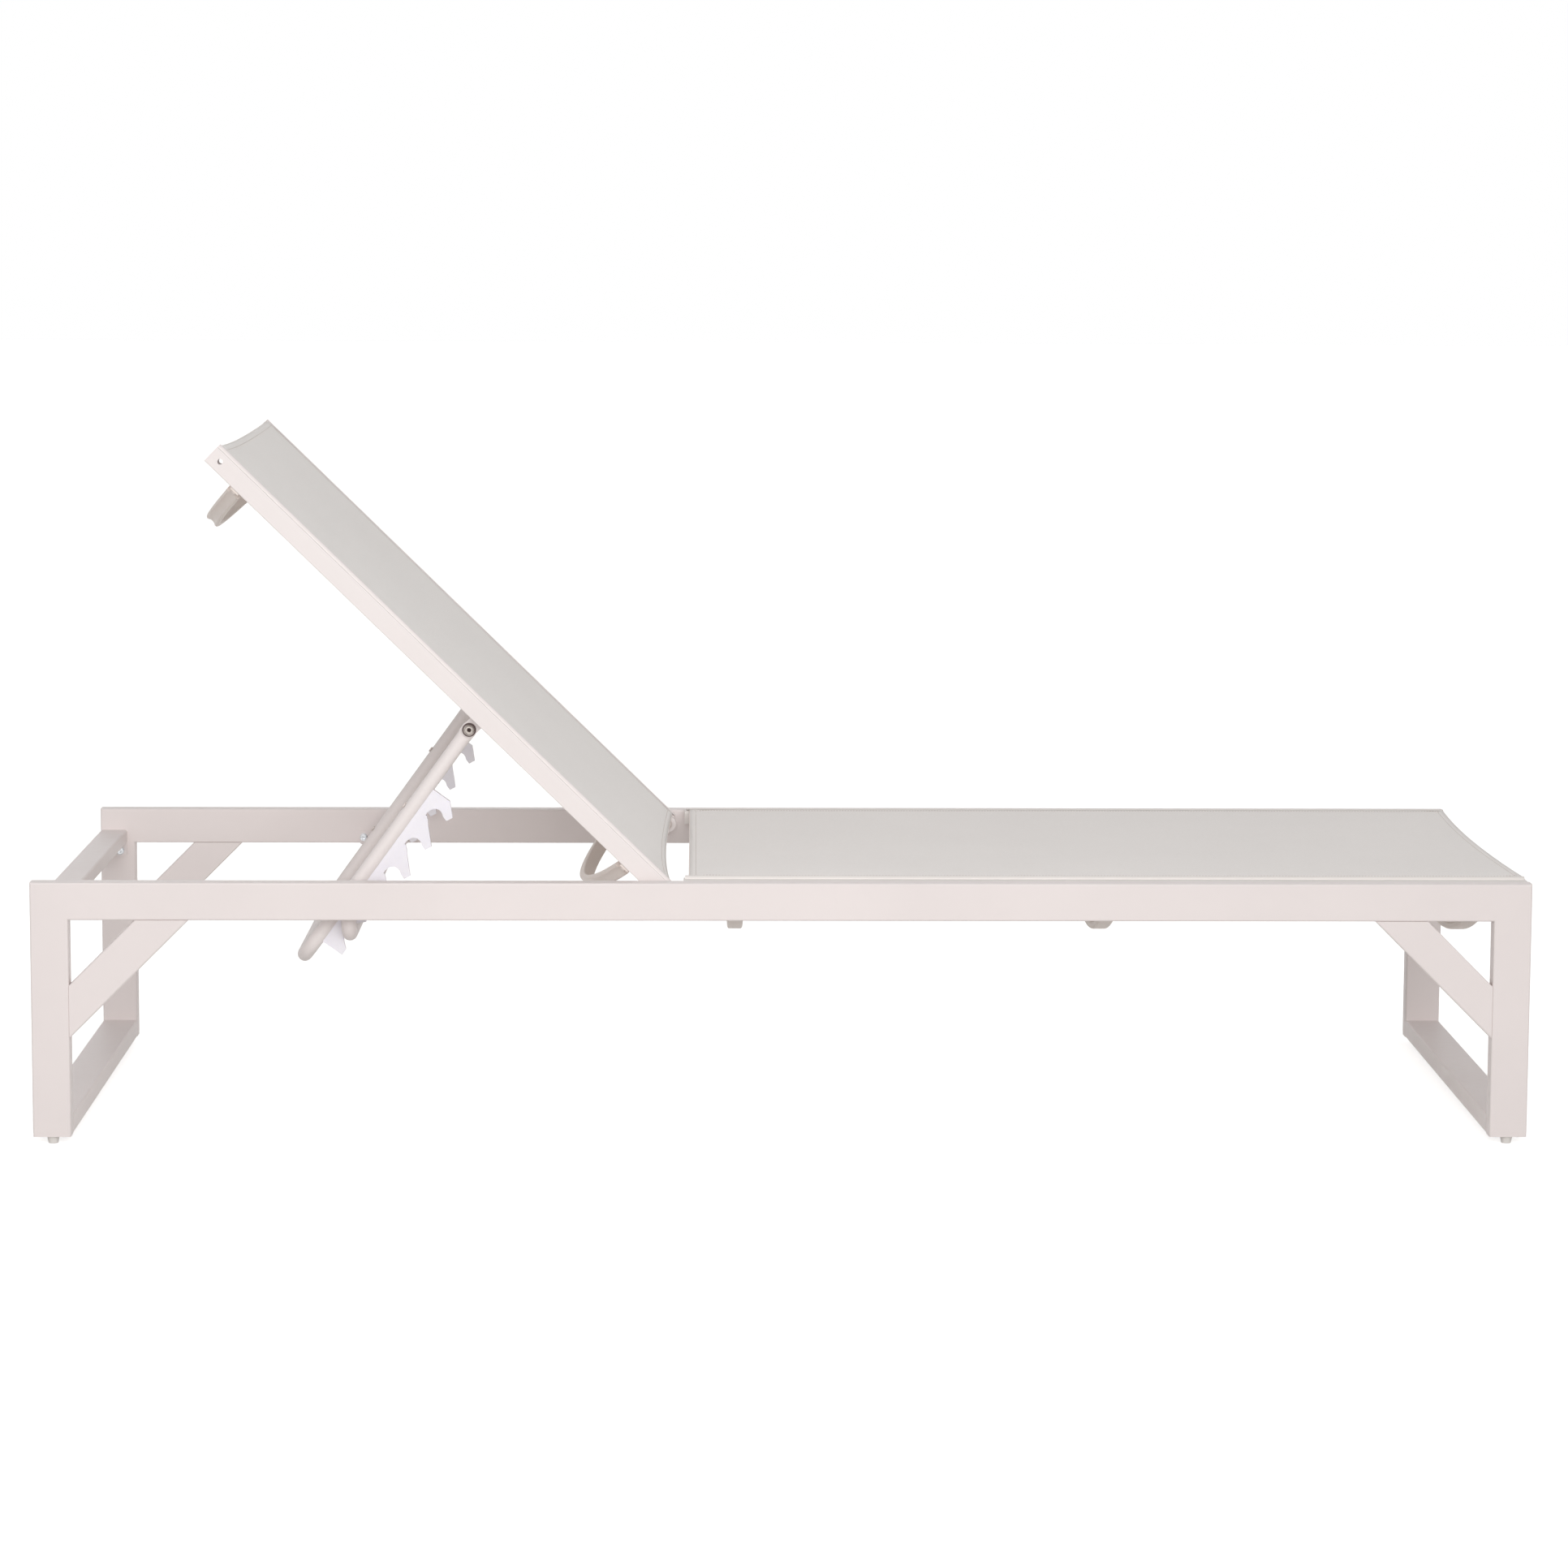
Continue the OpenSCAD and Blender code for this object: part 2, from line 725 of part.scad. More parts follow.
module stay_lug(side) {
  color(frame_white) in_back() translate([-stay_pivot_s, side * lug_y, -stay_pivot_drop])
    along_y(-lug_t / 2, lug_t / 2) difference() {
      lug_profile();
      circle(d = pivot_bolt_d);
    }
}

module stay_pivot_bolts() {
  outer = lug_y + lug_t / 2 + pivot_washer_t;
  inner = paddle_y - paddle_t / 2 - pivot_nut_gap;
  color(zinc) on_both_sides() translate([pivot_x, 0, pivot_z]) {
    translate([0, outer, 0]) bolt(pivot_head_d, pivot_head_h, pivot_bolt_d, outer - inner);
    translate([0, inner, 0]) rotate([90, 0, 0])
      cylinder(d = pivot_nut_d, h = pivot_nut_h, $fn = 6);
  }
}

module stay_pivot_washers() {
  color(zinc) on_both_sides() translate([pivot_x, lug_y + lug_t / 2, pivot_z])
    rotate([-90, 0, 0]) difference() {
      cylinder(d = pivot_washer_d, h = pivot_washer_t);
      translate([0, 0, -bore_over / 2])
        cylinder(d = pivot_bolt_d, h = pivot_washer_t + bore_over);
    }
}

module stay_path(d, start) {
  run = stay_length - stay_bend;
  straight = stay_y - stay_bend;
  on_both_sides() {
    translate([start, stay_y, 0]) rotate([0, 90, 0]) cylinder(d = d, h = run - start);
    translate([run, straight, 0]) rotate_extrude(angle = 90) translate([stay_bend, 0]) circle(d = d);
  }
  translate([stay_length, 0, 0]) rotate([90, 0, 0])
    cylinder(d = d, h = 2 * straight, center = true);
}

module stay_tube() {
  color(frame_white) in_stay() difference() {
    stay_path(stay_d, arm_start);
    stay_path(stay_d - 2 * stay_wall, arm_start - bore_over / 2);
  }
}

// The flattened ends of the stay's arms
module stay_paddles() {
  color(frame_white) in_stay() on_both_sides() translate([0, paddle_y, 0])
    along_y(-paddle_t / 2, paddle_t / 2) difference() {
      union() {
        circle(d = paddle_w);
        translate([0, -paddle_w / 2]) square([arm_start, paddle_w]);
      }
      circle(d = pivot_bolt_d + 2 * running_gap);
    }
}

// A point given level with the raised seat, as a point along and off the stay
function on_stay(p) = [
  -p[0] * cos(stay_angle) - p[1] * sin(stay_angle),
  p[0] * sin(stay_angle) - p[1] * cos(stay_angle)
];

function notch_centre(i) = [notch_first + i * notch_pitch, notch_offset];

// Teeth point straight down while the back is raised. The last notch has no
// hook, so that the catch bar can leave it along the fold's own path.
module rack_profile() {
  last = notch_count - 1;
  difference() {
    union() {
      translate([rack_start, 0]) square([rack_end - rack_start, rack_band]);
      for (i = [0:last]) translate(notch_centre(i)) tooth();
      translate(notch_centre(last)) rack_tail_block();
    }
    for (i = [0:last]) translate(notch_centre(i)) circle(d = notch_d);
    square([rack_start, 2 * rack_band + notch_offset]);
    translate(notch_centre(last)) fold_path();
  }
}

// One tooth, between the notch at the origin and the one before it
module tooth() {
  root = rack_band - notch_offset - rack_overlap;
  wall = on_stay([wall_in - notch_d / 2, 0]) - [notch_pitch, 0];
  polygon([
    [wall[0], root], wall, on_stay(tooth_crest), on_stay(tooth_tip), on_stay(tooth_hook),
    on_stay(tooth_neck), [0, 0], [0, root]
  ]);
}

// The block below the last notch, cut square at the rack's end
module rack_tail_block() {
  root = rack_band - notch_offset - rack_overlap;
  polygon([
    [0, root], [0, 0], on_stay([wall_in - notch_d / 2, 0]), on_stay(tail_wall), on_stay(tail_knee),
    on_stay(tail_tip), [rack_tail, root]
  ]);
}

// The room that the catch bar needs as the back starts to fold
module fold_path() {
  reach = catch_d / 2 + clear_path;
  run = tooth_tip[0] + catch_d / 4;
  polygon([
    on_stay([0, -reach]), on_stay([0, reach]), on_stay([run, reach + run * fold_rise]),
    on_stay([run, -reach])
  ]);
}

module rack(side) {
  color(nylon_white) in_stay() difference() {
    translate([0, side * stay_y, 0]) {
      along_y(-rack_t / 2 + rack_step, rack_t / 2 - rack_step) rack_profile();
      along_y(-rack_t / 2, rack_t / 2) intersection() {
        rack_profile();
        translate([rack_start, 0]) square([rack_end - rack_start, rack_band]);
      }
    }
    translate([0, side * stay_y, 0]) rotate([0, 90, 0])
      cylinder(d = stay_d + 2 * rack_seat_gap, h = stay_length);
  }
}

module rack_screws() {
  color(zinc) in_stay() on_both_sides() for (s = rack_screw_s)
    translate([s, stay_y, -stay_d / 2]) rotate([-90, 0, 0])
      bolt(rack_screw_d, rack_screw_h, stretcher_shank_d, 0);
}

side_rail(-1);  // near_side_rail
side_rail(1);  // far_side_rail
leg(-1, -1);  // near_head_leg
leg(1, -1);  // near_foot_leg
leg(-1, 1);  // far_head_leg
leg(1, 1);  // far_foot_leg
corner_brace(-1, -1);  // near_head_brace
corner_brace(1, -1);  // near_foot_brace
corner_brace(-1, 1);  // far_head_brace
corner_brace(1, 1);  // far_foot_brace
skid_bar(-1);  // head_skid_bar
skid_bar(1);  // foot_skid_bar
leg_end_caps();
foot_glides();
end_cap_screws();
head_crossbar();
crossbar_end_plates();
crossbar_bolts();
catch_bar();
catch_bar_plates();
catch_bar_bolts();
seat_sling_rail(-1);  // near_seat_sling_rail
seat_sling_rail(1);  // far_seat_sling_rail
seat_rail_end_caps();
seat_keder_cords();
seat_stretcher(0);  // seat_stretcher_head
seat_stretcher(1);  // seat_stretcher_middle
seat_stretcher(2);  // seat_stretcher_foot
seat_stretcher_screws();
seat_sling();
hinge_bolts();
back_rail(-1);  // near_back_rail
back_rail(1);  // far_back_rail
hinge_bushes();
back_keder_cords();
back_stretcher(back_stretcher_low);  // back_stretcher_lower
back_stretcher(back_stretcher_high);  // back_stretcher_upper
back_stretcher_screws();
back_sling();
stay_lug(-1);  // near_stay_lug
stay_lug(1);  // far_stay_lug
stay_pivot_bolts();
stay_pivot_washers();
stay_tube();
stay_paddles();
rack(-1);  // near_rack
rack(1);  // far_rack
rack_screws();
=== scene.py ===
import math

import bmesh
import bpy
from mathutils import Matrix, Vector


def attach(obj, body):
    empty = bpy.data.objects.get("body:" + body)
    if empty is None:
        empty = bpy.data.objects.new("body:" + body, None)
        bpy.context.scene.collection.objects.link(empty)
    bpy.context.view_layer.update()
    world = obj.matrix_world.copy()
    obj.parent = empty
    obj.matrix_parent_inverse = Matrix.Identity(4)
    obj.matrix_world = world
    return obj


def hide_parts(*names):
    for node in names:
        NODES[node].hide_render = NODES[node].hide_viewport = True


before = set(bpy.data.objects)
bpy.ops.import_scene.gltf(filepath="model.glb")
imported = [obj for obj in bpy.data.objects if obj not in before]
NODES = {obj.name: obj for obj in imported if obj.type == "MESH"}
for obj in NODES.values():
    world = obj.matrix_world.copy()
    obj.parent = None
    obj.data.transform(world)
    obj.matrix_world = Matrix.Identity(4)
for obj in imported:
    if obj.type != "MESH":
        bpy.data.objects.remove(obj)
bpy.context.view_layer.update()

MM = 0.001

# Places and sizes that the source gives, in millimetres and degrees
HINGE_X, HINGE_Z, RECLINE = -157.5, 333.0, 44.33
PIVOT_X, PIVOT_Z, STAY_ANGLE = -415.285, 546.941, 54.1
RAIL_TOP, BACK_HALF_RAIL = 350.0, 12.5
SEAT_RIDGE_Y, BACK_RIDGE_Y = 309.0, 310.0
SLOT_ANGLE = math.radians(30)
CLOTH_T = 1.2
STAY_R, ARM_START = 9.75, 18.0
PADDLE_OUT, PADDLE_T, PADDLE_R = 295.5, 6.0, 10.5


# Small helpers

def srgb(r, g, b):
    """A colour given as 0 to 255 screen values, as linear light."""
    def line(v):
        v /= 255
        return v / 12.92 if v <= 0.04045 else ((v + 0.055) / 1.055) ** 2.4
    return (line(r), line(g), line(b), 1.0)


def scaled(colour, share):
    return tuple(c * share for c in colour[:3]) + (1.0,)


def new_object(name, bm, material):
    mesh = bpy.data.meshes.new(name)
    bm.to_mesh(mesh)
    bm.free()
    mesh.materials.append(material)
    obj = bpy.data.objects.new(name, mesh)
    bpy.context.scene.collection.objects.link(obj)
    return obj


def piece(name, bm, body, material):
    """Makes a smooth object from a bmesh and sets it riding on a body."""
    obj = new_object(name, bm, material)
    for face in obj.data.polygons:
        face.use_smooth = True
    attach(obj, body)
    return obj


# Materials

class Graph:
    """A short way to write the nodes of a material or a world."""

    def __init__(self, tree):
        self.tree = tree
        self.shader = tree.nodes.get("Principled BSDF")

    def node(self, kind, **values):
        made = self.tree.nodes.new(kind)
        for key, value in values.items():
            if hasattr(made, key):
                setattr(made, key, value)
            else:
                made.inputs[key].default_value = value
        return made

    def link(self, out, into):
        self.tree.links.new(out, into)

    def feed(self, socket, value):
        if isinstance(value, bpy.types.NodeSocket):
            self.link(value, socket)
        else:
            socket.default_value = value

    def maths(self, operation, a, b=0.0):
        made = self.node("ShaderNodeMath", operation=operation)
        self.feed(made.inputs[0], a)
        self.feed(made.inputs[1], b)
        return made.outputs[0]

    def place(self):
        return self.node("ShaderNodeTexCoord").outputs["Object"]

    def split(self, vector):
        made = self.node("ShaderNodeSeparateXYZ")
        self.link(vector, made.inputs[0])
        return made.outputs

    def noise(self, vector, scale, detail=2.0, rough=0.5):
        made = self.node("ShaderNodeTexNoise", Scale=scale, Detail=detail, Roughness=rough)
        self.link(vector, made.inputs["Vector"])
        return made.outputs["Fac"]

    def spread(self, value, low, high, into_low=0.3, into_high=0.7):
        """Spreads a value's middle range over the range from low to high."""
        made = self.node("ShaderNodeMapRange")
        for key, fed in (("Value", value), ("From Min", into_low), ("From Max", into_high),
                         ("To Min", low), ("To Max", high)):
            self.feed(made.inputs[key], fed)
        return made.outputs[0]

    def mix(self, share, a, b):
        made = self.node("ShaderNodeMix", data_type="RGBA")
        for place, value in ((0, share), (6, a), (7, b)):
            self.feed(made.inputs[place], value)
        return made.outputs[2]

    def colour(self, value):
        self.feed(self.shader.inputs["Base Color"], value)

    def rough(self, value):
        self.feed(self.shader.inputs["Roughness"], value)

    def bump(self, height, distance, strength):
        made = self.node("ShaderNodeBump", Strength=strength, Distance=distance)
        self.link(height, made.inputs["Height"])
        self.link(made.outputs[0], self.shader.inputs["Normal"])

    def constant(self, key, value):
        self.shader.inputs[key].default_value = value


def new_material(name):
    material = bpy.data.materials.new(name)
    material.use_nodes = True
    return material, Graph(material.node_tree)


def powder_coat(name, colour, rough=0.42, peel=0.02):
    """Paint with faint clouds, fine specks and an orange peel of peel millimetres."""
    material, g = new_material(name)
    at = g.place()
    clouds = g.noise(at, scale=5.0, detail=4.0, rough=0.6)
    specks = g.noise(at, scale=70.0, detail=6.0, rough=0.65)
    base = g.mix(g.spread(clouds, 0.0, 1.0), scaled(colour, 0.965), colour)
    speckled = g.spread(specks, 0.0, 0.4, into_low=0.6, into_high=0.85)
    g.colour(g.mix(speckled, base, scaled(colour, 0.95)))
    g.rough(g.spread(g.noise(at, scale=90.0, detail=3.0), rough - 0.05, rough + 0.07))
    g.bump(g.noise(at, scale=700.0, detail=1.0), peel * MM, strength=0.35)
    g.constant("Specular IOR Level", 0.35)
    return material


def moulded(name, colour, rough, soft=0.0):
    """Plastic with a faint mottle, and light that sinks in where it is soft."""
    material, g = new_material(name)
    at = g.place()
    mottle = g.noise(at, scale=14.0, detail=4.0)
    specks = g.noise(at, scale=160.0, detail=5.0)
    base = g.mix(g.spread(mottle, 0.0, 1.0), scaled(colour, 0.96), colour)
    speckled = g.spread(specks, 0.0, 0.3, into_low=0.55, into_high=0.8)
    g.colour(g.mix(speckled, base, scaled(colour, 0.9)))
    g.rough(g.spread(g.noise(at, scale=60.0, detail=3.0), rough - 0.05, rough + 0.1))
    g.bump(g.noise(at, scale=1400.0), 0.015 * MM, strength=0.5)
    if soft:
        g.constant("Subsurface Weight", soft)
        g.constant("Subsurface Radius", (0.004, 0.004, 0.005))
    return material


def plated(name, colour, rough=0.3):
    """Plated steel with small stains."""
    material, g = new_material(name)
    at = g.place()
    stain = g.spread(g.noise(at, scale=260.0, detail=6.0, rough=0.7), 0.0, 1.0,
                     into_low=0.42, into_high=0.7)
    g.colour(g.mix(stain, colour, scaled(colour, 0.62)))
    g.rough(g.spread(g.noise(at, scale=420.0, detail=4.0), rough - 0.08, rough + 0.16))
    g.bump(g.noise(at, scale=2600.0, detail=3.0), 0.01 * MM, strength=0.5)
    g.constant("Metallic", 0.9)
    return material


def bolt_face(name, colour, centre, socket_r, ring_r):
    """Plating with painted shade in its socket and in a groove round the bolt's axis."""
    material = plated(name, colour)
    g = Graph(material.node_tree)
    at = g.split(g.place())
    across = [g.maths("SUBTRACT", at[k], centre[k]) for k in (0, 2)]
    squares = [g.maths("MULTIPLY", v, v) for v in across]
    radius = g.maths("SQRT", g.maths("ADD", *squares))
    soft = 0.25 * MM
    # Painted shade: the socket and the groove round it are darkened where shade falls in
    # these recesses.
    socket_shade = g.spread(radius, 1.0, 0.0, socket_r - soft, socket_r + soft)
    off_ring = g.maths("ABSOLUTE", g.maths("SUBTRACT", radius, ring_r))
    groove_shade = g.spread(off_ring, 0.7, 0.0, soft, 2 * soft)
    painted_shade = g.maths("MAXIMUM", socket_shade, groove_shade)
    plain = g.shader.inputs["Base Color"].links[0].from_socket
    g.colour(g.mix(painted_shade, plain, srgb(48, 38, 36)))
    return material


YARN_PITCH = 1.5 * MM


def woven(name, colour, flecks=0.08):
    """Coated mesh cloth: round yarns that pass over and under each other."""
    material, g = new_material(name)
    flat = g.node("ShaderNodeAttribute", attribute_name="cloth")
    along = g.split(flat.outputs["Vector"])
    turn = math.pi / YARN_PITCH
    warp, weft = [g.maths("SINE", g.maths("MULTIPLY", along[k], turn)) for k in (0, 1)]
    warp_round, weft_round = g.maths("ABSOLUTE", warp), g.maths("ABSOLUTE", weft)
    over = g.maths("GREATER_THAN", g.maths("MULTIPLY", warp, weft), 0.0)
    under = g.maths("SUBTRACT", 1.0, over)
    top = g.maths("ADD", g.maths("MULTIPLY", warp_round, over),
                  g.maths("MULTIPLY", weft_round, under))
    gap = g.maths("SUBTRACT", 1.0, g.maths("MAXIMUM", warp_round, weft_round))
    height = g.maths("SUBTRACT", g.maths("POWER", top, 0.5), g.maths("MULTIPLY", gap, 0.8))
    at = g.place()
    clouds = g.noise(at, scale=4.0, detail=4.0, rough=0.6)
    base = g.mix(g.spread(clouds, 0.0, 1.0), scaled(colour, 0.97), colour)
    flecked = g.spread(g.noise(at, scale=420.0), 0.0, 0.5, into_low=0.4)
    base = g.mix(flecked, base, scaled(colour, 1 - flecks))
    # Painted shade: the colour darkens in the gaps between the yarns.
    gap_shade = g.spread(gap, 0.0, 0.8, into_low=0.5, into_high=1.0)
    g.colour(g.mix(gap_shade, base, scaled(colour, 0.8)))
    g.rough(g.spread(g.noise(at, scale=180.0, detail=3.0), 0.5, 0.66))
    g.bump(height, 0.2 * MM, strength=0.35)
    g.constant("Sheen Weight", 0.08)
    g.constant("Specular IOR Level", 0.3)
    return material


PIVOT = (PIVOT_X * MM, 0, PIVOT_Z * MM)
SOCKET_R, GROOVE_R = 2.7 * MM, 5.3 * MM

FRAME = powder_coat("frame_powder_coat", srgb(236, 227, 225))
BACK_FRAME = powder_coat("back_powder_coat", srgb(238, 230, 228), 0.4)
EXTRUSION = powder_coat("extrusion_powder_coat", srgb(231, 225, 221), 0.36, 0.012)
# Painted shade: the stretchers carry the frame's coat tinted warmer, matching the warm shade
# under the rails.
STRETCHER_WARM_SHADE = powder_coat("stretcher_coat_warm_shade", srgb(239, 228, 221), 0.46, 0.02)
# The screws and hinge bolts are coated like the frame. The darker brown of that coat is
# painted shade.
SCREW_COAT_SHADE = powder_coat("screw_coat_painted_shade", srgb(222, 211, 205), 0.44)
NYLON = moulded("rack_nylon", srgb(243, 240, 246), 0.36, 0.15)
BUSH = moulded("bush_nylon", srgb(226, 222, 216), 0.4)
GLIDE = moulded("glide_plastic", srgb(234, 230, 226), 0.45)
RUBBER = moulded("washer_rubber", srgb(84, 64, 62), 0.55)
THREAD = moulded("stitch_thread", srgb(212, 201, 195), 0.6)
ZINC = plated("zinc_plating", srgb(230, 234, 238), 0.24)
PIVOT_BOLT = bolt_face("pivot_bolt_plating", srgb(176, 168, 162), PIVOT, SOCKET_R, GROOVE_R)
SEAT_CLOTH = woven("seat_mesh", srgb(245, 239, 235))
BACK_CLOTH = woven("back_mesh", srgb(247, 242, 238))
# Painted light: the hem's cloth is a lighter copy of the sling cloth, making up for the shade
# on its downward-facing fold.
HEM_CLOTH_PAINTED_LIGHT = woven("hem_mesh_painted_light", srgb(250, 238, 233), flecks=0.06)

DRESS = {
    BACK_FRAME: ("near_back_rail", "far_back_rail", "stay_tube", "stay_paddles",
                 "near_stay_lug", "far_stay_lug"),
    EXTRUSION: ("near_seat_sling_rail", "far_seat_sling_rail", "seat_rail_end_caps",
                "seat_keder_cords", "back_keder_cords"),
    STRETCHER_WARM_SHADE: ("seat_stretcher_head", "seat_stretcher_middle", "seat_stretcher_foot",
                "back_stretcher_lower", "back_stretcher_upper"),
    NYLON: ("near_rack", "far_rack"),
    BUSH: ("hinge_bushes",),
    GLIDE: ("foot_glides",),
    RUBBER: ("stay_pivot_washers",),
    ZINC: ("end_cap_screws", "crossbar_bolts", "catch_bar_bolts"),
    SCREW_COAT_SHADE: ("seat_stretcher_screws", "back_stretcher_screws", "rack_screws", "hinge_bolts"),
    PIVOT_BOLT: ("stay_pivot_bolts",),
}
CHOSEN = {node: material for material, nodes in DRESS.items() for node in nodes}
for node, obj in NODES.items():
    obj.data.materials.clear()
    obj.data.materials.append(CHOSEN.get(node, FRAME))


# Slings. Each is drawn in its own frame: x along the lounge, y across and z up
# from the middle of the ridges that hold its cords. All lengths in millimetres.

BACK_TURN = (Matrix.Translation((HINGE_X * MM, 0, HINGE_Z * MM))
             @ Matrix.Rotation(math.radians(RECLINE), 4, "Y")
             @ Matrix.Translation((0, 0, BACK_HALF_RAIL * MM)))
SEAT_TURN = Matrix.Translation((0, 0, RAIL_TOP * MM))

# The cloth's way out of its slot: where it starts and where it leaves the ridge
ROOT_OUT, LIP_OUT = 3.1, 5.0

# How high the gathers and the pulls rise, how far they reach, how softly they
# start, how many folds fan out, and the lengths of the pulls' two waves
GATHER_RISE, GATHER_REACH, GATHER_START, GATHER_FOLDS = 0.9, 38, 9, 11
PULL_RISE, PULL_REACH, PULL_START = 0.12, 16, 5
PULL_LONG, PULL_SHORT, PULL_SHORT_SHARE = 17.0, 7.3, 0.6


class Sling:
    def __init__(self, name, turn, ends, curves, lean, ridge_y, sags, seed):
        self.name, self.turn, self.ends, self.curves = name, turn, ends, curves
        self.lean, self.ridge_y, self.sags, self.seed = lean, ridge_y, sags, seed
        self.lip_y = ridge_y - LIP_OUT * math.cos(SLOT_ANGLE)
        self.lip_z = LIP_OUT * math.sin(SLOT_ANGLE)
        self.root_y = ridge_y - ROOT_OUT * math.cos(SLOT_ANGLE)
        self.root_z = ROOT_OUT * math.sin(SLOT_ANGLE)

    def edges(self, y):
        """Where the cloth starts and ends at y. The far end's curve may lean."""
        inward = 1 - (y / self.ridge_y) ** 2
        uneven = 1 + self.lean * y / self.ridge_y
        return (self.ends[0] + self.curves[0] * inward,
                self.ends[1] - self.curves[1] * inward * uneven)

    def ripple(self, x, y):
        """Gathers at the corners and slight pulls along the side seams."""
        low, high = self.edges(y)
        side = self.lip_y - abs(y)
        if side < 0:
            return 0.0
        total = 0.0
        for end, along in ((0, x - low), (1, high - x)):
            away = math.hypot(along, side)
            fold = math.sin(GATHER_FOLDS * math.atan2(along, side + 1.0) + end)
            fade = math.exp(-away / GATHER_REACH) * (away / (away + GATHER_START))
            total += GATHER_RISE * fade * fold
        pull = math.sin(x / PULL_LONG + self.seed)
        pull += PULL_SHORT_SHARE * math.sin(x / PULL_SHORT + 2 * self.seed)
        fade = math.exp(-side / PULL_REACH) * min(1.0, side / PULL_START)
        return total + PULL_RISE * pull * fade

    def height(self, x, y):
        if abs(y) > self.lip_y:
            share = (abs(y) - self.lip_y) / (self.root_y - self.lip_y)
            return self.lip_z + (self.root_z - self.lip_z) * share
        low, high = self.edges(y)
        along = (x - low) / (high - low)
        sag = self.sags[0] + (self.sags[1] - self.sags[0]) * along
        return self.lip_z - sag * (1 - (y / self.lip_y) ** 2) + self.ripple(x, y)

    def point(self, x, y, lift=0.0):
        """The place of a cloth point, lifted off the cloth's middle."""
        return self.turn @ (Vector((x, y, self.height(x, y) + lift)) * MM)

    def across(self, count):
        inner = [self.lip_y * (-1 + 2 * j / count) for j in range(count + 1)]
        return [-self.root_y] + inner + [self.root_y]


def cloth_layer(bm):
    """Each point's place on the flat cloth, which the weave follows."""
    layers = bm.verts.layers.float_vector
    return layers.get("cloth") or layers.new("cloth")


def cloth_vert(bm, flat, sling, x, y, lift):
    vert = bm.verts.new(sling.point(x, y, lift))
    vert[flat] = Vector((x * MM, y * MM, 0))
    return vert


def lay_cloth(bm, sling, rows, cols):
    """A closed sheet: a top and a bottom skin joined round the edge."""
    flat = cloth_layer(bm)
    ys = sling.across(cols)
    last = len(ys) - 1
    edges = [sling.edges(y) for y in ys]
    top, bottom = [
        [[cloth_vert(bm, flat, sling, low + (high - low) * i / rows, y, lift)
          for y, (low, high) in zip(ys, edges)] for i in range(rows + 1)]
        for lift in (CLOTH_T / 2, -CLOTH_T / 2)
    ]
    for i in range(rows):
        for j in range(last):
            for skin, order in ((top, 1), (bottom, -1)):
                ring = (skin[i][j], skin[i + 1][j], skin[i + 1][j + 1], skin[i][j + 1])
                bm.faces.new(ring[::order])
    rim = [(0, j) for j in range(last)] + [(i, last) for i in range(rows)]
    rim += [(rows, j) for j in range(last, 0, -1)] + [(i, 0) for i in range(rows, 0, -1)]
    for (i, j), (k, m) in zip(rim, rim[1:] + rim[:1]):
        bm.faces.new((top[i][j], top[k][m], bottom[k][m], bottom[i][j]))
    bmesh.ops.recalc_face_normals(bm, faces=bm.faces)


def close_rings(bm, rings):
    """Joins rings of points into a closed tube with flat ends."""
    for a, b in zip(rings, rings[1:]):
        for k in range(len(a)):
            n = (k + 1) % len(a)
            bm.faces.new((a[k], a[n], b[n], b[k]))
    bm.faces.new(rings[0][::-1])
    bm.faces.new(rings[-1])


# A hem's width, the radius and the steps of its fold, its distance under the
# cloth, and how far in from the edge its inner face starts
HEM_W, HEM_BEAD, HEM_FOLD_STEPS = 11.0, 1.15, 8
HEM_GAP, HEM_LAP = 0.02, 0.3


def lay_hem(bm, sling, end, cols):
    """The folded edge: it wraps the cloth's end and lies flat beneath it."""
    flat = cloth_layer(bm)
    inward = 1 if end == 0 else -1
    under = -CLOTH_T / 2 - HEM_GAP
    outline = []
    for k in range(HEM_FOLD_STEPS + 1):
        angle = math.pi / 2 + math.pi * k / HEM_FOLD_STEPS
        outline.append((HEM_BEAD * math.cos(angle), HEM_BEAD * math.sin(angle) - CLOTH_T / 2))
    outline += [(HEM_W, -CLOTH_T / 2 - HEM_BEAD), (HEM_W, under), (HEM_LAP, under)]
    rings = []
    for j in range(cols + 1):
        y = sling.lip_y * (-1 + 2 * j / cols)
        edge = sling.edges(y)[end]
        rings.append([cloth_vert(bm, flat, sling, edge + inward * off, y, lift)
                      for off, lift in outline])
    close_rings(bm, rings)


STITCH, STITCH_GAP, STITCH_R, STITCH_SIDES, STITCH_START = 3.2, 0.9, 0.36, 6, 2.0
# Along a stitch: the share of its length, its radius and its rise, both in STITCH_R
STITCH_FORM = ((0.0, 0.45, -0.5), (0.2, 1.0, 0.15), (0.5, 1.05, 0.35),
               (0.8, 1.0, 0.15), (1.0, 0.45, -0.5))


def lay_stitch(bm, start, stop, up):
    side = (stop - start).normalized().cross(up).normalized()
    rings = []
    for share, width, rise in STITCH_FORM:
        middle = start.lerp(stop, share) + up * (rise * STITCH_R * MM)
        ring = []
        for k in range(STITCH_SIDES):
            turn = 2 * math.pi * k / STITCH_SIDES
            out = side * math.cos(turn) + up * math.sin(turn)
            ring.append(bm.verts.new(middle + out * (width * STITCH_R * MM)))
        rings.append(ring)
    close_rings(bm, rings)


